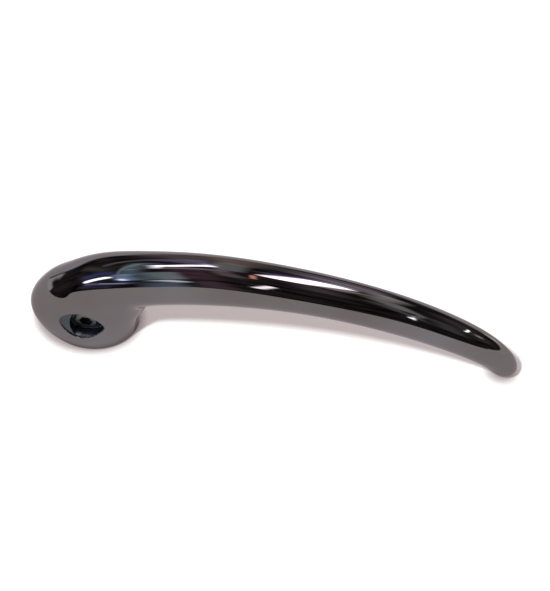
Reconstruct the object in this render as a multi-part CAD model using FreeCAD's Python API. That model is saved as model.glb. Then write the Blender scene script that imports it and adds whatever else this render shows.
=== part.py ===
import FreeCAD, Part
import math
import os
from FreeCAD import Vector

# One-footed lever handle for window hardware, millimetres.
# Origin: pivot axis on the mounting surface.  +Z leaves the surface, +X points to the tip of the grip.

# ---- outside of the casting --------------------------------------------------------------------
# Each station is one oval section of the lever: its point on the back of the handle, its point on
# the belly (foot side), both as (x, z), and its half width.  The stations fan round the tight inner
# corner where the grip leaves the boss, then follow the arch of the grip down to the tip.
FOOT_CLEARANCE = 0.3
STATIONS = [
    ((-11.8, FOOT_CLEARANCE), (12.0, FOOT_CLEARANCE), 10.2),
    ((-15.7, 6.2), (12.8, 5.9), 10.0),
    ((-12.2, 13.4), (13.9, 8.5), 8.7),
    ((-8.0, 17.5), (15.4, 12.0), 7.7),
    ((1.1, 23.6), (17.1, 13.1), 6.9),
    ((16.7, 28.0), (21.7, 14.2), 6.4),
    ((33.9, 30.2), (34.3, 16.3), 5.9),
    ((56.8, 28.7), (54.7, 17.4), 5.4),
    ((80.0, 23.9), (77.2, 13.3), 4.7),
    ((98.2, 15.7), (93.8, 7.2), 3.9),
    ((106.5, 8.2), (101.7, 1.7), 2.9),
]
# How fast back, belly and half width run from station to station at the foot and at the tip.
FOOT_RUN = ((-8.2, 5.8), (-0.2, 4.8), 1.7)
TIP_RUN = ((5.0, -7.9), (3.7, -2.8), 0.4)
TIP_REACH = 0.71
TIP_SECTIONS = 6
TIP_LAST_ANGLE = 88.0
SECTIONS_PER_STATION = 4

# ---- pivot inside the boss ---------------------------------------------------------------------
FLANGE_RADIUS = 8.0
FLANGE_HEIGHT = 1.4
STEM_RADIUS = 4.5
STEM_TOP = 16.0
STEM_CHAMFER = 0.5
SCREW_HOLE_RADIUS = 2.5
SCREW_HOLE_DEPTH = 13.0
TURN_EACH_WAY = 90.0

# The spring's height is its whole space; its crests stop one slack short of the washer.
SPRING_HEIGHT = 0.6
SPRING_STRIP = 0.25
SPRING_SLACK = 0.04
SPRING_WAVES = 3
SPRING_POINTS_PER_WAVE = 8
SPRING_INNER_RADIUS = STEM_RADIUS + 0.35
SPRING_OUTER_RADIUS = FLANGE_RADIUS - 0.2
WASHER_HEIGHT = 0.4
WASHER_INNER_RADIUS = STEM_RADIUS + 0.2
WASHER_OUTER_RADIUS = FLANGE_RADIUS - 0.1
BUSH_FLANGE_HEIGHT = 0.6
BUSH_RADIUS = 5.4
BUSH_BORE_RADIUS = STEM_RADIUS + 0.04
RECESS_RADIUS = FLANGE_RADIUS + 0.3
BORE_TOP = 15.4
RELIEF_RADIUS = 4.9
RELIEF_TOP = 16.6

# ---- retaining screw in the side of the boss ---------------------------------------------------
SCREW_Z = 8.6
SCREW_RADIUS = 3.0
SCREW_CLEARANCE = 0.02
SCREW_OUTER_END = 7.4
SCREW_END_CHAMFER = 0.4
DOG_RADIUS = 2.0
DOG_REACH = 3.75
GROOVE_FLOOR = 3.6
GROOVE_CLEARANCE = 0.05
SOCKET_ACROSS_FLATS = 3.0
SOCKET_DEPTH = 1.5
WELL_CENTRE_X = 0.6
WELL_RADIUS = 4.5
WELL_FLOOR = 7.0
PATCH_RADIUS = 0.6
PATCH_DEPTH = 1.0
PATCH_FROM_AXIS = 6.5

# ---- eye-shaped window round the screw ---------------------------------------------------------
# The eye's tip end is tilted towards the foot.  Its floor leans with the skin, and a deeper round
# well inside it reaches the screw.
WINDOW_CENTRE_X = -0.8
WINDOW_HALF_LENGTH = 6.0
WINDOW_HALF_HEIGHT = 3.65
WINDOW_TILT = 5.0
WINDOW_FLOOR = 8.5
WINDOW_LEAN = 19.5
WINDOW_CORNER_RADIUS = 0.6

# How far cutters reach out of the skin and run past a face, and how close counts as touching it.
OUTSIDE = 15.0
OVERRUN = 1.0
NEAR = 0.1

SPRING_Z = FLANGE_HEIGHT
WASHER_Z = SPRING_Z + SPRING_HEIGHT
BUSH_Z = WASHER_Z + WASHER_HEIGHT
RECESS_TOP = BUSH_Z + BUSH_FLANGE_HEIGHT
SCREW_INNER_END = BUSH_RADIUS + NEAR
DOG_GAP = DOG_RADIUS + 0.2
UP = Vector(0, 0, 1)
FRONT = Vector(0, -1, 0)


def disc(radius, bottom, top):
    """Solid cylinder on the pivot axis."""
    return Part.makeCylinder(radius, top - bottom, Vector(0, 0, bottom), UP)


def ring(inner, outer, bottom, top):
    """Plain ring on the pivot axis."""
    return disc(outer, bottom, top).cut(disc(inner, bottom, top))


def side_rod(radius, near, far):
    """Solid cylinder on the screw's axis, from one distance in front of the pivot axis to another."""
    return Part.makeCylinder(radius, far - near, Vector(0, -near, SCREW_Z), FRONT)


def rail(points, first_run, last_run):
    """Smooth curve through one point of every station."""
    curve = Part.BSplineCurve()
    parameters = [float(place) for place in range(len(points))]
    curve.interpolate(Points=points, Parameters=parameters,
                      InitialTangent=first_run, FinalTangent=last_run, Scale=False)
    return curve


def on_back(station):
    (x, z), _, _ = station
    return Vector(x, 0, z)


def on_belly(station):
    _, (x, z), _ = station
    return Vector(x, 0, z)


def on_side(station):
    """Point on the side of the handle, half way between its back and its belly."""
    return (on_back(station) + on_belly(station)) * 0.5 + Vector(0, station[2], 0)


def oval(back, belly, side, shrink=1.0):
    """Oval section through three points, shrunk about its centre."""
    centre = (back + belly) * 0.5
    ellipse = Part.Ellipse(centre + (back - centre) * shrink, centre + (side - centre) * shrink, centre)
    return ellipse.toBSpline()


def lever_blank():
    """Outside of the whole lever: boss, grip and rounded tip in one smooth skin."""
    rails = [rail([pick(station) for station in STATIONS], pick(FOOT_RUN), pick(TIP_RUN))
             for pick in (on_back, on_belly, on_side)]
    last = len(STATIONS) - 1
    sections = []
    for step in range(last * SECTIONS_PER_STATION + 1):
        place = step / SECTIONS_PER_STATION
        sections.append(oval(*[line.value(place) for line in rails]))
    ends = [line.value(last) for line in rails]
    runs = [pick(TIP_RUN) for pick in (on_back, on_belly, on_side)]
    for step in range(1, TIP_SECTIONS + 1):
        angle = math.radians(TIP_LAST_ANGLE * step / TIP_SECTIONS)
        reach = TIP_REACH * math.sin(angle)
        points = [end + run * reach for end, run in zip(ends, runs)]
        sections.append(oval(*points, shrink=math.cos(angle)))
    skin = Part.BSplineSurface()
    skin.buildFromNSections(sections)
    foot = Part.Face(Part.Wire(sections[0].toShape()))
    tip = Part.Face(Part.Wire(sections[-1].toShape()))
    return Part.Solid(Part.Shell([skin.toShape(), foot, tip]))


def window_prism():
    """Prism with the window's eye-shaped outline, from the well's floor out past the skin."""
    centre = Vector(WINDOW_CENTRE_X, -WELL_FLOOR, SCREW_Z)
    left = centre - Vector(WINDOW_HALF_LENGTH, 0, 0)
    right = centre + Vector(WINDOW_HALF_LENGTH, 0, 0)
    upper_lid = Part.Arc(left, centre + UP * WINDOW_HALF_HEIGHT, right).toShape()
    lower_lid = Part.Arc(right, centre - UP * WINDOW_HALF_HEIGHT, left).toShape()
    eye = Part.Face(Part.Wire([upper_lid, lower_lid]))
    prism = eye.extrude(FRONT * (OUTSIDE - WELL_FLOOR))
    corners = [edge for edge in prism.Edges
               if abs(edge.Vertexes[0].Y - edge.Vertexes[-1].Y) > OVERRUN]
    prism = prism.makeFillet(WINDOW_CORNER_RADIUS, corners)
    prism.rotate(centre, Vector(0, 1, 0), WINDOW_TILT)
    return prism


def screw_window():
    """Cutter for the window: a shallow eye with a leaning floor and a deeper well inside it."""
    hinge = Vector(0, -WINDOW_FLOOR, SCREW_Z)
    corner = hinge - Vector(OUTSIDE, OUTSIDE, OUTSIDE)
    in_front = Part.makeBox(2 * OUTSIDE, OUTSIDE, 2 * OUTSIDE, corner)
    in_front.rotate(hinge, Vector(1, 0, 0), -WINDOW_LEAN)
    prism = window_prism()
    well = side_rod(WELL_RADIUS, WELL_FLOOR, OUTSIDE)
    well.translate(Vector(WELL_CENTRE_X, 0, 0))
    return prism.common(in_front).fuse(prism.common(well))


def lever_casting():
    """Plated casting, bored from its foot for the pivot and from its side for the screw."""
    body = lever_blank()
    body = body.cut(disc(RECESS_RADIUS, -OVERRUN, RECESS_TOP))
    body = body.cut(disc(BUSH_RADIUS, -OVERRUN, BORE_TOP))
    body = body.cut(disc(RELIEF_RADIUS, -OVERRUN, RELIEF_TOP))
    body = body.cut(screw_window())
    return body.cut(side_rod(SCREW_RADIUS, 0, WINDOW_FLOOR))


def turn_groove():
    """Cutter for the part-way groove: the screw's dog runs in it and meets its rounded ends."""
    half = DOG_RADIUS + GROOVE_CLEARANCE
    outer = STEM_RADIUS + OVERRUN
    base = Vector(0, 0, SCREW_Z - half)
    sector = Part.makeCylinder(outer, 2 * half, base, UP, 2 * TURN_EACH_WAY)
    sector.rotate(Vector(0, 0, 0), UP, -90 - TURN_EACH_WAY)
    cutter = sector.cut(disc(GROOVE_FLOOR, 0, STEM_TOP))
    for turn in (-TURN_EACH_WAY, TURN_EACH_WAY):
        end = side_rod(half, GROOVE_FLOOR, outer)
        end.rotate(Vector(0, 0, 0), UP, turn)
        cutter = cutter.fuse(end)
    return cutter


def pivot_sleeve():
    """Fixed pivot: flat foot flange, stem with the turn groove, tapped hole for the fixing screw."""
    stem = disc(STEM_RADIUS, 0, STEM_TOP)
    top_edges = [edge for edge in stem.Edges if edge.BoundBox.ZMin > STEM_TOP - NEAR]
    stem = stem.makeChamfer(STEM_CHAMFER, top_edges)
    sleeve = disc(FLANGE_RADIUS, 0, FLANGE_HEIGHT).fuse(stem).removeSplitter()
    sleeve = sleeve.cut(disc(SCREW_HOLE_RADIUS, -OVERRUN, SCREW_HOLE_DEPTH))
    return sleeve.cut(turn_groove())


def wave_line(radius):
    """Closed wavy line round the pivot axis, the lower edge of the spring strip."""
    lift = (SPRING_HEIGHT - SPRING_STRIP - SPRING_SLACK) / 2
    count = SPRING_POINTS_PER_WAVE * SPRING_WAVES
    points = []
    for step in range(count):
        angle = 2 * math.pi * step / count
        height = SPRING_Z + lift * (1 + math.cos(SPRING_WAVES * angle))
        points.append(Vector(radius * math.cos(angle), radius * math.sin(angle), height))
    curve = Part.BSplineCurve()
    curve.interpolate(points, PeriodicFlag=True)
    return curve.toShape()


def wave_spring():
    """Wave spring on the flange; its push gives the lever its friction."""
    strip = Part.makeRuledSurface(wave_line(SPRING_INNER_RADIUS), wave_line(SPRING_OUTER_RADIUS))
    return strip.extrude(Vector(0, 0, SPRING_STRIP))


def thrust_washer():
    """Flat washer between the spring and the lower bush."""
    return ring(WASHER_INNER_RADIUS, WASHER_OUTER_RADIUS, WASHER_Z, WASHER_Z + WASHER_HEIGHT)


def lower_bush():
    """Flanged bearing bush at the foot of the boss."""
    collar = ring(BUSH_BORE_RADIUS, FLANGE_RADIUS, BUSH_Z, RECESS_TOP)
    sleeve = ring(BUSH_BORE_RADIUS, BUSH_RADIUS, RECESS_TOP, SCREW_Z - DOG_GAP)
    return collar.fuse(sleeve).removeSplitter()


def upper_bush():
    """Plain bearing bush at the blind end of the bore."""
    return ring(BUSH_BORE_RADIUS, BUSH_RADIUS, SCREW_Z + DOG_GAP, BORE_TOP)


def locking_patch():
    """Small plug let into the screw's thread, so that it can't work loose."""
    top = SCREW_Z + SCREW_RADIUS - SCREW_CLEARANCE
    base = Vector(0, -PATCH_FROM_AXIS, top - PATCH_DEPTH)
    plug = Part.makeCylinder(PATCH_RADIUS, PATCH_DEPTH, base, UP)
    return plug.common(side_rod(SCREW_RADIUS - SCREW_CLEARANCE, 0, OUTSIDE))


def hexagon_socket():
    """Cutter for the key socket in the screw's outer end."""
    corner = SOCKET_ACROSS_FLATS / math.sqrt(3)
    points = []
    for side in range(7):
        angle = math.radians(60 * side)
        x = corner * math.cos(angle)
        z = SCREW_Z + corner * math.sin(angle)
        points.append(Vector(x, -SCREW_OUTER_END, z))
    face = Part.Face(Part.makePolygon(points))
    return face.extrude(FRONT * -SOCKET_DEPTH)


def retaining_screw():
    """Dog-point set screw: holds the lever on the sleeve and limits its turn."""
    shank_radius = SCREW_RADIUS - SCREW_CLEARANCE
    shank = side_rod(shank_radius, SCREW_INNER_END, SCREW_OUTER_END)
    end_edges = [edge for edge in shank.Edges if edge.BoundBox.YMax < -SCREW_OUTER_END + NEAR]
    shank = shank.makeChamfer(SCREW_END_CHAMFER, end_edges)
    screw = shank.fuse(side_rod(DOG_RADIUS, DOG_REACH, SCREW_INNER_END))
    screw = screw.cut(hexagon_socket())
    return screw.cut(locking_patch())


PARTS = {
    "lever_casting": lever_casting,
    "pivot_sleeve": pivot_sleeve,
    "wave_spring": wave_spring,
    "thrust_washer": thrust_washer,
    "lower_bush": lower_bush,
    "upper_bush": upper_bush,
    "retaining_screw": retaining_screw,
    "locking_patch": locking_patch,
}

os.makedirs("parts", exist_ok=True)
for name, build in PARTS.items():
    shape = build()
    if shape.ShapeType == "Compound" and len(shape.Solids) == 1:
        shape = shape.Solids[0]
    shape.exportStep("parts/" + name + ".step")
    box = shape.BoundBox
    print(name, shape.ShapeType, len(shape.Solids), shape.isValid(), round(shape.Volume, 1),
          [round(v, 2) for v in (box.XMin, box.YMin, box.ZMin, box.XMax, box.YMax, box.ZMax)])
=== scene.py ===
import math

import bmesh
import bpy
import numpy as np
from mathutils import Matrix, Vector


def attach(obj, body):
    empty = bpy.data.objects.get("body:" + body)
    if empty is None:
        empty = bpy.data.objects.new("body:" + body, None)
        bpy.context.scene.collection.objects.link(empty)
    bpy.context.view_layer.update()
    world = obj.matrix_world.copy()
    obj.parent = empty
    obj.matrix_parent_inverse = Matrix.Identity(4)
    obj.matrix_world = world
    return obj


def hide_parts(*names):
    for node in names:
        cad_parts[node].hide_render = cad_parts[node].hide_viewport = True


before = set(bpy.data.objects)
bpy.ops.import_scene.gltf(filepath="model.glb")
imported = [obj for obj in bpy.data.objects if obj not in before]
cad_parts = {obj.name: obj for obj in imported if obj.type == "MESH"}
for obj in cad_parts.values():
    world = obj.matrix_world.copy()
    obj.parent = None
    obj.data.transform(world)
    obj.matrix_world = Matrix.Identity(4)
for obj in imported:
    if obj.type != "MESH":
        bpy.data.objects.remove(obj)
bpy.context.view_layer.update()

MM = 0.001

# ---------------------------------------------------------------------------------------------
# The lever's outside, in millimetres of the CAD frame.
# One row per station: back x, back z, belly x, belly z, half width.
# ---------------------------------------------------------------------------------------------
FOOT_Z = 0.3
STATIONS = np.array([
    (-11.8, FOOT_Z, 12.0, FOOT_Z, 10.2),
    (-15.7, 6.2, 12.8, 5.9, 10.0),
    (-12.2, 13.4, 13.9, 8.5, 8.7),
    (-8.0, 17.5, 15.4, 12.0, 7.7),
    (1.1, 23.6, 17.1, 13.1, 6.9),
    (16.7, 28.0, 21.7, 14.2, 6.4),
    (33.9, 30.2, 34.3, 16.3, 5.9),
    (56.8, 28.7, 54.7, 17.4, 5.4),
    (80.0, 23.9, 77.2, 13.3, 4.7),
    (98.2, 15.7, 93.8, 7.2, 3.9),
    (106.5, 8.2, 101.7, 1.7, 2.9),
])
# How fast a row's numbers change from station to station at the foot and at the tip, and how far
# the rounded tip goes on past the last station, in stations.
FOOT_RUN = np.array((-8.2, 5.8, -0.2, 4.8, 1.7))
TIP_RUN = np.array((5.0, -7.9, 3.7, -2.8, 0.4))
TIP_REACH = 0.71
LAST = len(STATIONS) - 1

# How finely the skin is divided: between two stations, over the tip and round each section.
ROWS_PER_STATION = 24
TIP_ROWS = 22
AROUND = 144

# The foot's edge is rounded over the skin's first rows, and ends a little inside the outline.
FOOT_ROWS = 2
FOOT_STEPS = 6
FOOT_INSET = 0.95

# The screw and its eye-shaped window in the side of the boss.
SCREW_Z = 8.6
WINDOW_X = -0.8
WINDOW_HALF_LENGTH = 6.0
WINDOW_HALF_HEIGHT = 3.65
WINDOW_TILT = math.radians(5.0)
WINDOW_SOFTNESS = 0.06
WINDOW_FLOOR = -8.5
WINDOW_LEAN = math.radians(19.5)
WINDOW_LIP = 0.08
LIP_STEPS = 5
WELL_X = 0.6
WELL_RADIUS = 4.5
WELL_FLOOR = -7.0
SCREW_HOLE_RADIUS = 3.0
SCREW_HOLE_END = -4.5

# Small breaks at the window's inner edges, and the room that is left between the edges.
WALL_FOOT = 0.03
WALL_LEAST = 0.03
FLOOR_MARGIN = 0.1
FLOOR_LEAST = 0.04
WELL_MARGIN = 0.16
WELL_MOUTH_WIDTH = 0.03
WELL_MOUTH_DEPTH = 0.04
WELL_FOOT_HEIGHT = 0.05
WELL_FOOT_WIDTH = 0.06
HOLE_MOUTH = 0.05

# The part of the skin that is drawn anew round the window: its rows, its columns either side of
# the front, its rings, and the power that crowds those towards the lip.
PATCH_FIRST_ROW = 8
PATCH_LAST_ROW = 62
PATCH_FIRST_COLUMN = -15
PATCH_LAST_COLUMN = 18
PATCH_RINGS = 12
PATCH_CROWDING = 1.3

# The stations between which the skin is searched for its depth at the window.
SEARCH_FROM = 0.2
SEARCH_TO = 3.4
HALVINGS = 44

# The stepped bore for the pivot, as (radius, height) from below the foot up.
BORE_STEPS = (
    (8.6, -1.0), (8.6, 0.3), (8.3, 0.6), (8.3, 3.0),
    (5.4, 3.0), (5.4, 15.4), (4.9, 15.4), (4.9, 16.6),
)
BORE_SIDES = 96

# Of every mesh: points nearer than this (in metres) become one, and edges sharper than this show.
MERGE_DISTANCE = 1e-7
SHARP_ANGLE = math.radians(35.0)

# Material slots of the lever's skin.
OUTSIDE_SLOT = 0
RECESS_SLOT = 1


def station_slopes():
    """Slopes of the smooth curves through the stations, their ends given by the two runs."""
    count = len(STATIONS)
    matrix = np.zeros((count, count))
    right = np.zeros_like(STATIONS)
    matrix[0, 0] = 1.0
    matrix[-1, -1] = 1.0
    right[0] = FOOT_RUN
    right[-1] = TIP_RUN
    for k in range(1, count - 1):
        matrix[k, k - 1:k + 2] = (1.0, 4.0, 1.0)
        right[k] = 3.0 * (STATIONS[k + 1] - STATIONS[k - 1])
    return np.linalg.solve(matrix, right)


SLOPES = station_slopes()


def sections_at(places):
    """Back, belly and half width at places counted in stations from the foot."""
    places = np.atleast_1d(np.asarray(places, float))
    low = np.clip(places.astype(int), 0, LAST - 1)
    t = (places - low)[:, None]
    first, second = STATIONS[low], STATIONS[low + 1]
    slope_1, slope_2 = SLOPES[low], SLOPES[low + 1]
    return ((2 * t**3 - 3 * t**2 + 1) * first + (t**3 - 2 * t**2 + t) * slope_1
            + (3 * t**2 - 2 * t**3) * second + (t**3 - t**2) * slope_2)


def ring_points(section, angles, shrink=1.0):
    """Points round one oval section, in millimetres."""
    back_x, back_z, belly_x, belly_z, half_width = section
    centre_x, centre_z = (back_x + belly_x) / 2, (back_z + belly_z) / 2
    half_x, half_z = (back_x - belly_x) / 2 * shrink, (back_z - belly_z) / 2 * shrink
    return np.stack([centre_x + half_x * np.cos(angles),
                     half_width * shrink * np.sin(angles),
                     centre_z + half_z * np.cos(angles)], -1)


def front_depth(x, z):
    """The skin's y on its front side, above the points (x, z) of the symmetry plane."""
    low = np.full(x.shape, SEARCH_FROM)
    high = np.full(x.shape, SEARCH_TO)
    for _ in range(HALVINGS):
        middle = (low + high) / 2
        back_x, back_z, belly_x, belly_z, _ = sections_at(middle.ravel()).T
        side = (belly_x - back_x) * (z.ravel() - back_z) - (belly_z - back_z) * (x.ravel() - back_x)
        above = (side > 0).reshape(x.shape)
        low = np.where(above, middle, low)
        high = np.where(above, high, middle)
    back_x, back_z, belly_x, belly_z, half_width = sections_at(low.ravel()).T
    half_x, half_z = (back_x - belly_x) / 2, (back_z - belly_z) / 2
    along = (x.ravel() - (back_x + belly_x) / 2) * half_x + (z.ravel() - (back_z + belly_z) / 2) * half_z
    along /= half_x**2 + half_z**2
    return (-half_width * np.sqrt(np.clip(1 - along**2, 0, 1))).reshape(x.shape)


def eye_radius(direction):
    """Distance from the window's centre to its outline: two arcs with softened corners, tilted."""
    angle = direction + WINDOW_TILT
    sagitta, half = WINDOW_HALF_HEIGHT, WINDOW_HALF_LENGTH
    radius = (half**2 + sagitta**2) / (2 * sagitta)
    drop = radius - sagitta
    lift = np.sqrt(np.sin(angle)**2 + WINDOW_SOFTNESS**2)
    return np.sqrt(radius**2 - drop**2 * np.cos(angle)**2) - drop * lift


def well_radius(direction):
    """Distance from the window's centre to the round well inside it."""
    shift = WELL_X - WINDOW_X
    return shift * np.cos(direction) + np.sqrt(WELL_RADIUS**2 - (shift * np.sin(direction))**2)


class Builder:
    """Collects points (in millimetres) and faces of one mesh, ring by ring."""

    def __init__(self):
        self.points = []
        self.faces = []
        self.recess = range(0)

    def add(self, points):
        """Adds points and gives their numbers."""
        first = len(self.points)
        self.points.extend(np.asarray(points, float).reshape(-1, 3).tolist())
        return list(range(first, len(self.points)))

    def bridge(self, ring_a, ring_b):
        """Joins two closed rings by a band of faces."""
        count = len(ring_a)
        for k in range(count):
            n = (k + 1) % count
            self.faces.append((ring_a[k], ring_a[n], ring_b[n], ring_b[k]))

    def fan(self, ring, centre):
        """Closes a ring by triangles to one point."""
        (tip,) = self.add([centre])
        count = len(ring)
        for k in range(count):
            self.faces.append((ring[k], ring[(k + 1) % count], tip))

    def object(self, name):
        """Makes the Blender object; the faces numbered in recess get that material slot."""
        mesh = bpy.data.meshes.new(name)
        mesh.from_pydata([[c * MM for c in p] for p in self.points], [], self.faces)
        for index in self.recess:
            mesh.polygons[index].material_index = RECESS_SLOT
        work = bmesh.new()
        work.from_mesh(mesh)
        bmesh.ops.remove_doubles(work, verts=work.verts, dist=MERGE_DISTANCE)
        bmesh.ops.recalc_face_normals(work, faces=work.faces)
        work.to_mesh(mesh)
        work.free()
        piece = bpy.data.objects.new(name, mesh)
        bpy.context.scene.collection.objects.link(piece)
        return piece


def smooth(piece):
    """Smooth shading, with the sharp edges left sharp."""
    piece.data.shade_smooth()
    piece.data.set_sharp_from_angle(angle=SHARP_ANGLE)


def lathe(name, profile):
    """Closed solid of revolution about Z from (radius, height) pairs in millimetres."""
    build = Builder()
    angles = np.linspace(0, 2 * math.pi, BORE_SIDES, endpoint=False)
    rings = []
    for radius, height in profile:
        rings.append(build.add([(radius * math.cos(a), radius * math.sin(a), height) for a in angles]))
    for lower, upper in zip(rings, rings[1:]):
        build.bridge(lower, upper)
    build.fan(rings[0], (0, 0, profile[0][1]))
    build.fan(rings[-1], (0, 0, profile[-1][1]))
    return build.object(name)


def subtract(piece, cutter):
    """Cuts one solid out of another for good."""
    modifier = piece.modifiers.new("cut", "BOOLEAN")
    modifier.operation = "DIFFERENCE"
    modifier.solver = "EXACT"
    modifier.object = cutter
    bpy.context.view_layer.update()
    depsgraph = bpy.context.evaluated_depsgraph_get()
    result = bpy.data.meshes.new_from_object(piece.evaluated_get(depsgraph))
    piece.modifiers.clear()
    piece.data = result
    bpy.data.objects.remove(cutter)


def window_rings(build, boundary):
    """Joins the edge of the skin round the window to the window's lip, walls, floor and screw hole."""
    edge = np.array([build.points[k] for k in boundary])
    offset = edge[:, (0, 2)] - (WINDOW_X, SCREW_Z)
    level = math.cos(WINDOW_TILT), math.sin(WINDOW_TILT)
    offset = np.stack([offset[:, 0] * level[0] - offset[:, 1] * level[1],
                       offset[:, 0] * level[1] + offset[:, 1] * level[0]], -1)
    polar = np.arctan2(offset[:, 1] / WINDOW_HALF_HEIGHT, offset[:, 0] / WINDOW_HALF_LENGTH)
    direction = np.arctan2(np.sin(polar) * WINDOW_HALF_HEIGHT, np.cos(polar) * WINDOW_HALF_LENGTH)
    direction = direction - WINDOW_TILT
    unit = np.stack([np.cos(direction), np.sin(direction)], -1)
    eye = eye_radius(direction)

    def skin_ring(flat):
        """Ring on the skin, over points (x, z)."""
        return np.stack([flat[:, 0], front_depth(flat[:, 0], flat[:, 1]), flat[:, 1]], -1)

    def eye_flat(grow):
        """The window's outline, grown by a distance, as points (x, z)."""
        return (WINDOW_X, SCREW_Z) + unit * (eye + grow)[:, None]

    previous = boundary
    start = edge[:, (0, 2)]
    for step in range(1, PATCH_RINGS + 1):
        share = 1 - (1 - step / PATCH_RINGS) ** PATCH_CROWDING
        flat = start * (1 - share) + eye_flat(WINDOW_LIP) * share
        ring = build.add(skin_ring(flat))
        build.bridge(previous, ring)
        previous = ring
    for step in range(1, LIP_STEPS + 1):
        turn = math.radians(90 * step / LIP_STEPS)
        ring_at = skin_ring(eye_flat(WINDOW_LIP * (1 - math.sin(turn))))
        ring_at[:, 1] += WINDOW_LIP * (1 - math.cos(turn))
        ring = build.add(ring_at)
        build.bridge(previous, ring)
        previous = ring

    def leaning_ring(distance, below):
        """Ring at a depth below (or, with a minus, above) the window's leaning floor."""
        flat = (WINDOW_X, SCREW_Z) + unit * distance[:, None]
        depth = WINDOW_FLOOR + math.tan(WINDOW_LEAN) * (flat[:, 1] - SCREW_Z)
        depth = np.maximum(depth, lip_end + WALL_LEAST) + below
        return np.stack([flat[:, 0], depth, flat[:, 1]], -1)

    def flat_ring(distance, depth):
        """Ring at one depth, at distances from the window's centre."""
        flat = (WINDOW_X, SCREW_Z) + unit * distance[:, None]
        return np.stack([flat[:, 0], np.full(len(flat), depth), flat[:, 1]], -1)

    lip_end = skin_ring(eye_flat(0))[:, 1] + WINDOW_LIP
    well = np.minimum(well_radius(direction), eye - WELL_MARGIN)
    floor_edge = np.maximum(well + FLOOR_LEAST, eye - FLOOR_MARGIN)
    well_points = unit * well[:, None] + (WINDOW_X, 0)
    circle = np.arctan2(well_points[:, 1], well_points[:, 0])

    def round_ring(radius, depth):
        """Circle round the screw's axis."""
        depths = np.full(len(circle), depth)
        return np.stack([radius * np.cos(circle), depths, SCREW_Z + radius * np.sin(circle)], -1)

    steps = (
        leaning_ring(eye, -WALL_FOOT),
        leaning_ring(eye - WALL_FOOT * 2 / 3, -WALL_FOOT / 3),
        leaning_ring(floor_edge, 0),
        leaning_ring(well + WELL_MOUTH_WIDTH, 0),
        leaning_ring(well, WELL_MOUTH_DEPTH),
        flat_ring(well, WELL_FLOOR - WELL_FOOT_HEIGHT),
        flat_ring(well - WELL_FOOT_WIDTH, WELL_FLOOR),
        round_ring(SCREW_HOLE_RADIUS + HOLE_MOUTH, WELL_FLOOR),
        round_ring(SCREW_HOLE_RADIUS, WELL_FLOOR + HOLE_MOUTH),
        round_ring(SCREW_HOLE_RADIUS, SCREW_HOLE_END),
    )
    first = len(build.faces)
    for points in steps:
        ring = build.add(points)
        build.bridge(previous, ring)
        previous = ring
    build.fan(previous, (0, SCREW_HOLE_END, SCREW_Z))
    build.recess = range(first, len(build.faces))


def lever_skin():
    """The plated casting: one smooth skin with the screw's window and the bored foot."""
    build = Builder()
    angles = np.arange(AROUND) * 2 * math.pi / AROUND
    places = np.linspace(0, LAST, LAST * ROWS_PER_STATION + 1)
    sections = sections_at(places)

    rows = {}
    for row in range(FOOT_ROWS, len(places)):
        rows[row] = build.add(ring_points(sections[row], angles))
    front = AROUND * 3 // 4
    first_column, last_column = front + PATCH_FIRST_COLUMN, front + PATCH_LAST_COLUMN
    for row in range(FOOT_ROWS, len(places) - 1):
        in_rows = PATCH_FIRST_ROW <= row < PATCH_LAST_ROW
        for k in range(AROUND):
            if in_rows and first_column <= k < last_column:
                continue
            n = (k + 1) % AROUND
            build.faces.append((rows[row][k], rows[row][n], rows[row + 1][n], rows[row + 1][k]))
    boundary = [rows[PATCH_FIRST_ROW][k] for k in range(first_column, last_column)]
    boundary += [rows[row][last_column] for row in range(PATCH_FIRST_ROW, PATCH_LAST_ROW)]
    boundary += [rows[PATCH_LAST_ROW][k] for k in range(last_column, first_column, -1)]
    boundary += [rows[row][first_column] for row in range(PATCH_LAST_ROW, PATCH_FIRST_ROW, -1)]
    window_rings(build, boundary)

    previous = rows[len(places) - 1]
    for step in range(1, TIP_ROWS):
        turn = math.radians(90 * step / TIP_ROWS)
        section = STATIONS[-1] + TIP_RUN * TIP_REACH * math.sin(turn)
        ring = build.add(ring_points(section, angles, math.cos(turn)))
        build.bridge(previous, ring)
        previous = ring
    end = STATIONS[-1] + TIP_RUN * TIP_REACH
    build.fan(previous, ((end[0] + end[2]) / 2, 0, (end[1] + end[3]) / 2))

    corner = ring_points(STATIONS[0], angles)
    start = ring_points(sections[FOOT_ROWS], angles)
    inset = corner * (FOOT_INSET, FOOT_INSET, 1.0)
    previous = rows[FOOT_ROWS]
    for step in range(1, FOOT_STEPS + 1):
        t = step / FOOT_STEPS
        ring = build.add((1 - t)**2 * start + 2 * t * (1 - t) * corner + t**2 * inset)
        build.bridge(previous, ring)
        previous = ring
    build.fan(previous, (0, 0, FOOT_Z))

    piece = build.object("lever_skin")
    platings = {
        OUTSIDE_SLOT: plating("dark_chrome", low=(0.122, 0.104, 0.102), high=(0.150, 0.140, 0.148),
                              roughness=(0.02, 0.04)),
        # The recess plating is rougher, which is a real duller finish, and its darker tint is painted
        # shade in the window's hollow.
        RECESS_SLOT: plating("recess_dull_with_painted_shade", low=(0.062, 0.066, 0.078), high=(0.080, 0.085, 0.100),
                             roughness=(0.28, 0.4)),
    }
    for slot in sorted(platings):
        piece.data.materials.append(platings[slot])
    subtract(piece, lathe("bore_cutter", BORE_STEPS))
    smooth(piece)
    return piece


# ---------------------------------------------------------------------------------------------
# Materials
# ---------------------------------------------------------------------------------------------
# Height of the faint ripple in the metals, in metres.
RIPPLE = 0.00001


def new_material(name):
    """A material with its tree's nodes, its links and its main shader."""
    material = bpy.data.materials.new(name)
    material.use_nodes = True
    tree = material.node_tree
    return material, tree.nodes, tree.links, tree.nodes["Principled BSDF"]


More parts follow.
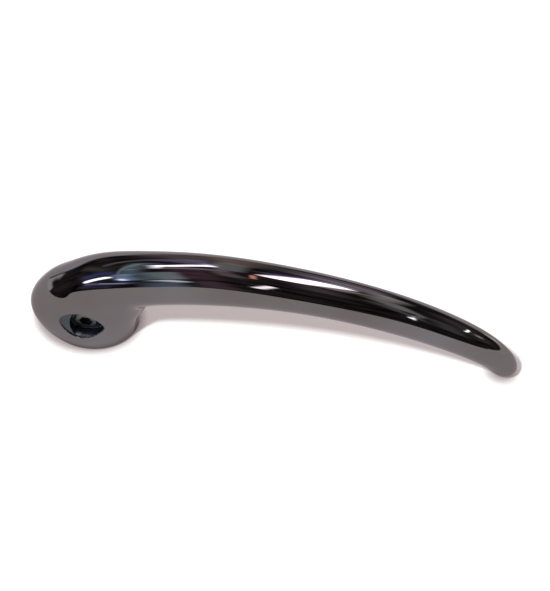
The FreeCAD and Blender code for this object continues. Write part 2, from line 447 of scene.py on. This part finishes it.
def noise(nodes, links, scale, detail, roughness=0.5, stretch=(1, 1, 1)):
    """Noise over the object, from 0 to 1."""
    place = nodes.new("ShaderNodeTexCoord")
    mapping = nodes.new("ShaderNodeMapping")
    mapping.inputs["Scale"].default_value = stretch
    links.new(place.outputs["Object"], mapping.inputs["Vector"])
    texture = nodes.new("ShaderNodeTexNoise")
    texture.inputs["Scale"].default_value = scale
    texture.inputs["Detail"].default_value = detail
    texture.inputs["Roughness"].default_value = roughness
    links.new(mapping.outputs["Vector"], texture.inputs["Vector"])
    return texture.outputs["Fac"]


def ramp(nodes, links, value, low, high, start=0.35, end=0.65):
    """Colour from low to high as a value goes from start to end."""
    node = nodes.new("ShaderNodeValToRGB")
    node.color_ramp.elements[0].position = start
    node.color_ramp.elements[1].position = end
    node.color_ramp.elements[0].color = (*low, 1)
    node.color_ramp.elements[1].color = (*high, 1)
    links.new(value, node.inputs["Fac"])
    return node.outputs["Color"]


def spread(nodes, links, value, low, high):
    """Number from low to high over the middle of a noise."""
    node = nodes.new("ShaderNodeMapRange")
    node.inputs["From Min"].default_value = 0.3
    node.inputs["From Max"].default_value = 0.7
    node.inputs["To Min"].default_value = low
    node.inputs["To Max"].default_value = high
    links.new(value, node.inputs["Value"])
    return node.outputs["Result"]


def bump(nodes, links, height):
    """Normal of a faintly rippled surface."""
    node = nodes.new("ShaderNodeBump")
    node.inputs["Distance"].default_value = RIPPLE
    node.inputs["Strength"].default_value = 1.0
    links.new(height, node.inputs["Height"])
    return node.outputs["Normal"]


def plating(name, low, high, roughness):
    """Plating over the casting: faint haze, faint ripple and a slow drift of tint."""
    material, nodes, links, shader = new_material(name)
    shader.inputs["Metallic"].default_value = 1.0
    drift = noise(nodes, links, scale=38, detail=3)
    links.new(ramp(nodes, links, drift, low, high, start=0.3, end=0.7), shader.inputs["Base Color"])
    shader.inputs["Specular Tint"].default_value = (0.75, 0.72, 0.74, 1)
    haze = noise(nodes, links, scale=220, detail=4)
    links.new(spread(nodes, links, haze, *roughness), shader.inputs["Roughness"])
    ripple = noise(nodes, links, scale=90, detail=1)
    links.new(bump(nodes, links, ripple), shader.inputs["Normal"])
    return material


def plain_metal(name, low, high, roughness, grain=900, stretch=(1, 1, 1)):
    """Unplated metal with a fine grain, which a stretch turns into tool marks."""
    material, nodes, links, shader = new_material(name)
    shader.inputs["Metallic"].default_value = 1.0
    value = noise(nodes, links, grain, detail=4, roughness=0.6, stretch=stretch)
    links.new(ramp(nodes, links, value, low, high), shader.inputs["Base Color"])
    links.new(spread(nodes, links, value, *roughness), shader.inputs["Roughness"])
    links.new(bump(nodes, links, value), shader.inputs["Normal"])
    return material


def nylon():
    """Blue nylon of the locking patch."""
    material, nodes, links, shader = new_material("nylon")
    value = noise(nodes, links, scale=1500, detail=3)
    blue = ramp(nodes, links, value, low=(0.02, 0.06, 0.22), high=(0.03, 0.09, 0.3))
    links.new(blue, shader.inputs["Base Color"])
    links.new(spread(nodes, links, value, 0.35, 0.5), shader.inputs["Roughness"])
    return material


def dress(piece, material):
    """Gives a piece one material in place of what it had."""
    piece.data.materials.clear()
    piece.data.materials.append(material)


# ---------------------------------------------------------------------------------------------
# Pieces
# ---------------------------------------------------------------------------------------------
skin = lever_skin()
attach(skin, "lever")
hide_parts("lever_casting")

steel = plain_metal("turned_steel", low=(0.42, 0.42, 0.43), high=(0.52, 0.52, 0.53),
                    roughness=(0.25, 0.4), grain=500, stretch=(1, 1, 9))
spring_steel = plain_metal("spring_steel", low=(0.3, 0.3, 0.32), high=(0.4, 0.4, 0.42),
                           roughness=(0.2, 0.32))
bronze = plain_metal("sintered_bronze", low=(0.34, 0.2, 0.08), high=(0.46, 0.29, 0.13),
                     roughness=(0.4, 0.6), grain=2500)
screw_steel = plain_metal("screw_steel", low=(0.08, 0.08, 0.085), high=(0.14, 0.14, 0.145),
                          roughness=(0.25, 0.4), grain=1600)
INNER_PIECES = (
    ("pivot_sleeve", steel),
    ("wave_spring", spring_steel),
    ("thrust_washer", spring_steel),
    ("lower_bush", bronze),
    ("upper_bush", bronze),
    ("retaining_screw", screw_steel),
    ("locking_patch", nylon()),
)
for node, material in INNER_PIECES:
    dress(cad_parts[node], material)


# ---------------------------------------------------------------------------------------------
# Floor, room, lamps and camera
# ---------------------------------------------------------------------------------------------
# The floor's side and how far its contact shadow reaches from the object (metres), and the
# strength of its own glow.
FLOOR_SIZE = 12.0
CONTACT_REACH = 0.0032
FLOOR_GLOW = 0.42

# How open to the sky the floor is where the contact shadow is full, and where it ends.
CONTACT_FULL = 0.45
CONTACT_END = 0.9


def floor():
    """Pale table; a short-range occlusion term gives the thin contact shadow round the foot."""
    bpy.ops.mesh.primitive_plane_add(size=FLOOR_SIZE)
    piece = bpy.context.object
    piece.name = "floor"
    material, nodes, links, shader = new_material("pale_floor")
    contact = nodes.new("ShaderNodeAmbientOcclusion")
    contact.inputs["Distance"].default_value = CONTACT_REACH
    contact.samples = 16
    for socket, shaded, open_colour in (
            ("Base Color", (0.3, 0.27, 0.26), (0.92, 0.915, 0.915)),
            ("Emission Color", (0.5, 0.4, 0.4), (1.0, 0.86, 0.86))):
        colour = ramp(nodes, links, contact.outputs["AO"], shaded, open_colour, CONTACT_FULL, CONTACT_END)
        links.new(colour, shader.inputs[socket])
    shader.inputs["Emission Strength"].default_value = FLOOR_GLOW
    shader.inputs["Roughness"].default_value = 1.0
    shader.inputs["Specular IOR Level"].default_value = 0.0
    dress(piece, material)


def aim(thing, target, roll=0.0):
    """Points a lamp or camera at a target, turned about its own axis by the roll."""
    direction = Vector(target) - thing.location
    turn = direction.to_track_quat("-Z", "Y").to_matrix().to_4x4()
    thing.matrix_world = Matrix.Translation(thing.location) @ turn @ Matrix.Rotation(roll, 4, "Z")


def sun(name, direction, energy, colour, softness):
    """Soft key light from a direction, left out of the reflections; softness in degrees."""
    data = bpy.data.lights.new(name, "SUN")
    data.energy = energy
    data.color = colour
    data.angle = math.radians(softness)
    lamp = bpy.data.objects.new(name, data)
    bpy.context.scene.collection.objects.link(lamp)
    lamp.location = direction
    aim(lamp, (0, 0, 0))
    lamp.visible_glossy = False


def glow(nodes, links, view, start, end, width, edge, radiance, colour):
    """Soft-edged patch of room light spanning two directions; width and edge in degrees."""
    def vector(operation, first, second):
        """Number from a direction socket and a fixed vector."""
        node = nodes.new("ShaderNodeVectorMath")
        node.operation = operation
        links.new(first, node.inputs[0])
        node.inputs[1].default_value = second
        return node.outputs["Value"]

    def value(operation, first, second=None):
        """Number from a socket and a fixed number, a second socket or nothing."""
        node = nodes.new("ShaderNodeMath")
        node.operation = operation
        links.new(first, node.inputs[0])
        if isinstance(second, float):
            node.inputs[1].default_value = second
        elif second is not None:
            links.new(second, node.inputs[1])
        return node.outputs["Value"]

    start, end = Vector(start).normalized(), Vector(end).normalized()
    towards = (start + end).normalized()
    along = (end - start - towards * (end - start).dot(towards)).normalized()
    ahead = vector("DOT_PRODUCT", view, towards)
    lengthwise = value("DIVIDE", vector("DOT_PRODUCT", view, along), ahead)
    crosswise = value("DIVIDE", vector("DOT_PRODUCT", view, towards.cross(along)), ahead)
    beyond = value("SUBTRACT", value("ABSOLUTE", lengthwise), math.tan(start.angle(end) / 2))
    beyond = value("MAXIMUM", beyond, 0.0)
    aside = value("ABSOLUTE", crosswise)
    away = value("SQRT", value("ADD", value("POWER", beyond, 2.0), value("POWER", aside, 2.0)))
    fade = nodes.new("ShaderNodeMapRange")
    fade.interpolation_type = "SMOOTHSTEP"
    links.new(away, fade.inputs["Value"])
    fade.inputs["From Min"].default_value = math.tan(math.radians(max(width - edge, 0.0) / 2))
    fade.inputs["From Max"].default_value = math.tan(math.radians((width + edge) / 2))
    fade.inputs["To Min"].default_value = radiance
    fade.inputs["To Max"].default_value = 0.0
    strength = value("MULTIPLY", fade.outputs["Result"], value("GREATER_THAN", ahead, 0.0))
    light = nodes.new("ShaderNodeVectorMath")
    light.operation = "SCALE"
    light.inputs[0].default_value = colour
    links.new(strength, light.inputs["Scale"])
    return light.outputs["Vector"]


# Strength of the pale light that reaches everything but the reflections.
FILL_STRENGTH = 0.10

# Lamps and dim things in the room, seen only in reflections:
# name, from, to (directions from the handle), width, soft edge (degrees), radiance, colour.
REFLECTIONS = (
    ("tube_back", (-0.43, 0.11, 0.9), (-0.24, 0.27, 0.93), 7, 3, 11, (0.93, 0.95, 1.0)),
    ("tube_back_tail", (-0.46, 0.16, 0.87), (-0.47, -0.08, 0.88), 1.5, 1.5, 5, (0.9, 0.92, 1.0)),
    ("tube_back_haze", (-0.24, 0.42, 0.87), (-0.22, 0.33, 0.92), 3, 4, 2.5, (0.8, 0.9, 1.0)),
    ("tube_right", (0.08, 0.04, 1.0), (0.19, 0.44, 0.88), 8, 3.5, 13, (1.0, 0.95, 1.0)),
    ("tube_right_haze", (0.18, 0.49, 0.85), (0.21, 0.6, 0.78), 5, 6, 1.6, (0.9, 0.88, 1.0)),
    ("tube_right_violet", (0.04, 0.35, 0.94), (0.15, 0.59, 0.79), 4, 5, 0.7, (0.5, 0.4, 1.0)),
    ("tube_right_fringe", (0.21, 0.05, 0.98), (0.27, 0.25, 0.93), 4, 4, 1.2, (1.0, 0.9, 0.93)),
    ("tube_left", (-0.74, -0.6, 0.3), (-0.6, -0.59, 0.53), 5.5, 4, 14, (0.93, 0.94, 1.0)),
    ("tube_front", (0.03, -0.72, 0.69), (-0.02, -0.9, 0.44), 1.6, 1.2, 8, (0.97, 0.93, 1.0)),
    ("violet_wall", (-0.8, -0.42, 0.43), (-0.67, -0.35, 0.66), 12, 10, 0.6, (0.24, 0.29, 1.0)),
    ("violet_cloth", (-0.69, -0.7, 0.21), (-0.41, -0.87, 0.27), 5, 5, 1.3, (0.38, 0.42, 1.0)),
    ("violet_fold", (-0.56, -0.79, 0.26), (-0.41, -0.87, 0.27), 2, 2, 1.6, (0.7, 0.78, 1.0)),
    ("blue_panel", (-0.54, -0.51, 0.67), (-0.44, -0.77, 0.46), 6, 5, 1.6, (0.42, 0.66, 1.0)),
    ("blue_lamp", (-0.49, -0.72, 0.5), (-0.45, -0.78, 0.44), 1.5, 3, 6, (0.65, 0.82, 1.0)),
    ("grey_panel", (-0.42, -0.44, 0.79), (-0.33, -0.79, 0.52), 6, 4, 0.85, (0.68, 0.95, 1.0)),
    ("white_edge", (-0.33, -0.85, 0.41), (-0.26, -0.9, 0.34), 3.5, 3, 3.5, (0.82, 0.9, 1.0)),
    ("teal_wall", (-0.49, 0.32, 0.81), (-0.54, -0.18, 0.83), 4, 4, 0.7, (0.6, 0.92, 1.0)),
    ("teal_wall_low", (-0.54, -0.18, 0.83), (-0.49, -0.53, 0.69), 5, 4, 0.6, (0.5, 0.8, 1.0)),
    ("pale_line", (-0.51, 0.24, 0.83), (-0.57, -0.13, 0.81), 1.2, 1.2, 0.6, (0.85, 1.0, 0.95)),
    ("pale_line_low", (-0.57, -0.13, 0.81), (-0.56, -0.45, 0.7), 1.2, 1.2, 0.5, (0.85, 1.0, 1.0)),
    ("blue_shade", (-0.43, -0.08, 0.9), (-0.18, -0.08, 0.98), 9, 5, 0.75, (0.87, 0.85, 1.0)),
    ("red_curtain", (-0.33, -0.27, 0.91), (-0.23, -0.76, 0.62), 14, 6, 0.16, (1.0, 0.5, 0.7)),
    ("pink_lining", (-0.14, -0.23, 0.96), (-0.1, -0.44, 0.9), 7, 5, 0.5, (1.0, 0.8, 0.8)),
    ("purple_shade", (-0.35, 0.65, 0.68), (-0.27, 0.45, 0.85), 13, 6, 0.75, (0.62, 0.56, 1.0)),
    ("brown_ceiling", (-0.24, 0.97, 0.11), (-0.23, 0.74, 0.63), 16, 8, 0.36, (1.0, 0.83, 0.83)),
    ("olive_beam", (-0.09, 0.99, 0.09), (-0.07, 0.73, 0.68), 8, 6, 0.48, (1.0, 0.87, 0.72)),
    ("teal_corner", (-0.11, 0.68, 0.73), (-0.12, 0.08, 0.99), 9, 4, 0.68, (0.9, 1.0, 1.0)),
    ("purple_ceiling", (0.13, 0.95, 0.28), (0.18, 0.82, 0.55), 13, 8, 0.45, (0.95, 0.85, 1.0)),
    ("purple_ceiling_low", (0.19, 0.79, 0.59), (0.25, 0.66, 0.71), 14, 8, 0.65, (0.93, 0.86, 1.0)),
    ("grey_ceiling", (0.36, 0.66, 0.65), (0.37, 0.24, 0.9), 8, 8, 0.95, (1.0, 1.0, 0.97)),
    ("green_board", (0.4, 0.07, 0.92), (0.5, -0.24, 0.83), 11, 6, 0.72, (0.93, 1.0, 0.94)),
    ("green_shade", (0.66, -0.21, 0.72), (0.63, -0.61, 0.48), 10, 8, 0.14, (0.9, 1.0, 0.93)),
    ("brown_shade", (0.17, -0.14, 0.97), (0.19, -0.43, 0.88), 7, 7, 0.2, (1.0, 0.8, 0.95)),
    ("orange_lamp", (-0.01, -0.1, 1.0), (-0.01, -0.37, 0.93), 1.2, 1, 3.4, (1.0, 0.46, 0.32)),
    ("spot_near_tip", (0.49, -0.58, 0.65), (0.43, -0.79, 0.44), 0.9, 1.2, 2.5, (0.9, 0.9, 1.0)),
    ("spot_near_tip_core", (0.46, -0.68, 0.57), (0.44, -0.74, 0.51), 1.8, 1.4, 8, (0.93, 0.93, 1.0)),
    ("spot_near_tip_tail", (0.57, -0.28, 0.77), (0.49, -0.58, 0.65), 2.5, 3, 0.5, (0.93, 0.93, 1.0)),
    ("spot_at_tip", (0.76, 0.27, 0.59), (0.77, -0.08, 0.63), 1.2, 1.0, 9, (0.95, 0.95, 1.0)),
    ("grey_spot", (0.83, 0.11, 0.54), (0.84, -0.01, 0.54), 4, 4, 1.3, (1.0, 1.0, 0.88)),
    ("backdrop_back", (0.35, 0.94, 0.02), (0.72, 0.68, 0.11), 14, 12, 1.1, (1.0, 1.0, 0.98)),
    ("backdrop_left", (-0.83, 0.55, 0.11), (-0.46, 0.89, 0.03), 17, 8, 1.25, (0.88, 0.96, 1.0)),
    ("grey_clutter", (-0.82, 0.14, 0.56), (-0.7, -0.09, 0.71), 12, 14, 0.15, (1.0, 1.0, 0.95)),
    ("grey_haze", (0.66, 0.44, 0.61), (0.85, -0.23, 0.47), 14, 16, 0.1, (1.0, 1.0, 0.93)),
    ("brown_low", (-0.16, -0.88, 0.45), (-0.12, -0.99, 0.09), 6, 5, 0.22, (1.0, 0.65, 0.85)),
    ("teal_low", (-0.29, -0.92, 0.26), (-0.23, -0.97, 0.02), 5, 4, 0.6, (0.5, 0.75, 1.0)),
    ("grey_board", (0.36, -0.3, 0.88), (0.5, -0.62, 0.6), 6, 6, 0.28, (0.93, 1.0, 1.0)),
    ("teal_arc", (-0.67, 0.2, 0.71), (-0.48, 0.56, 0.68), 3, 4, 0.4, (0.86, 0.94, 1.0)),
    ("violet_base", (-0.72, -0.68, 0.1), (-0.45, -0.88, 0.1), 4, 4, 0.25, (0.45, 0.45, 1.0)),
    ("backdrop_right", (0.76, -0.64, -0.1), (0.69, 0.71, 0.08), 24, 4, 1.2, (1.0, 1.0, 0.98)),
    ("backdrop_far_left", (-0.97, 0.3, 0.05), (-0.99, -0.12, 0.05), 11, 4, 1.35, (1.0, 1.0, 0.99)),
)


def room():
    """Dim cluttered room for reflections, a pale fill for the rest and white behind everything."""
    world = bpy.data.worlds.new("room")
    bpy.context.scene.world = world
    world.use_nodes = True
    nodes, links = world.node_tree.nodes, world.node_tree.links
    nodes.clear()
    path = nodes.new("ShaderNodeLightPath")
    place = nodes.new("ShaderNodeTexCoord")
    clutter = nodes.new("ShaderNodeTexNoise")
    clutter.inputs["Scale"].default_value = 5.0
    clutter.inputs["Detail"].default_value = 5.0
    links.new(place.outputs["Generated"], clutter.inputs["Vector"])
    total = ramp(nodes, links, clutter.outputs["Fac"], (0.012, 0.011, 0.012), (0.10, 0.088, 0.09))
    for _, *patch in REFLECTIONS:
        add = nodes.new("ShaderNodeVectorMath")
        links.new(total, add.inputs[0])
        links.new(glow(nodes, links, place.outputs["Generated"], *patch), add.inputs[1])
        total = add.outputs["Vector"]
    dim = nodes.new("ShaderNodeBackground")
    links.new(total, dim.inputs["Color"])
    pale = nodes.new("ShaderNodeBackground")
    pale.inputs["Color"].default_value = (1.0, 0.9, 0.9, 1)
    pale.inputs["Strength"].default_value = FILL_STRENGTH
    back = nodes.new("ShaderNodeBackground")
    back.inputs["Color"].default_value = (1.0, 1.0, 1.0, 1)
    fill = nodes.new("ShaderNodeMixShader")
    links.new(path.outputs["Is Glossy Ray"], fill.inputs["Fac"])
    links.new(pale.outputs[0], fill.inputs[1])
    links.new(dim.outputs[0], fill.inputs[2])
    shown = nodes.new("ShaderNodeMixShader")
    links.new(path.outputs["Is Camera Ray"], shown.inputs["Fac"])
    links.new(fill.outputs[0], shown.inputs[1])
    links.new(back.outputs[0], shown.inputs[2])
    output = nodes.new("ShaderNodeOutputWorld")
    links.new(shown.outputs[0], output.inputs["Surface"])


# The camera: what it looks at and from how far (metres), its turns, its lens and sensor
# (millimetres), and how far it sees (metres).
CAMERA_TARGET = (0.04598, 0.00471, 0.01343)
CAMERA_DISTANCE = 0.6
CAMERA_YAW = math.radians(8.06)
CAMERA_ELEVATION = math.radians(54.66)
CAMERA_ROLL = math.radians(1.15)
CAMERA_LENS = 146.2
CAMERA_SENSOR = 36.0
CAMERA_REACH = 50.0


def camera():
    """A long lens that looks down on the handle's front side."""
    data = bpy.data.cameras.new("camera")
    data.lens = CAMERA_LENS
    data.sensor_width = CAMERA_SENSOR
    data.clip_end = CAMERA_REACH
    eye = bpy.data.objects.new("camera", data)
    bpy.context.scene.collection.objects.link(eye)
    target = Vector(CAMERA_TARGET)
    level = math.cos(CAMERA_ELEVATION)
    backward = (math.sin(CAMERA_YAW) * level, -math.cos(CAMERA_YAW) * level, math.sin(CAMERA_ELEVATION))
    eye.location = target + Vector(backward) * CAMERA_DISTANCE
    aim(eye, target, CAMERA_ROLL)
    bpy.context.scene.camera = eye


floor()
room()
sun("key", direction=(-0.3, -0.48, 1.0), energy=2.7, colour=(0.93, 1.0, 1.0), softness=6)
camera()
bpy.context.scene.view_settings.view_transform = "Standard"
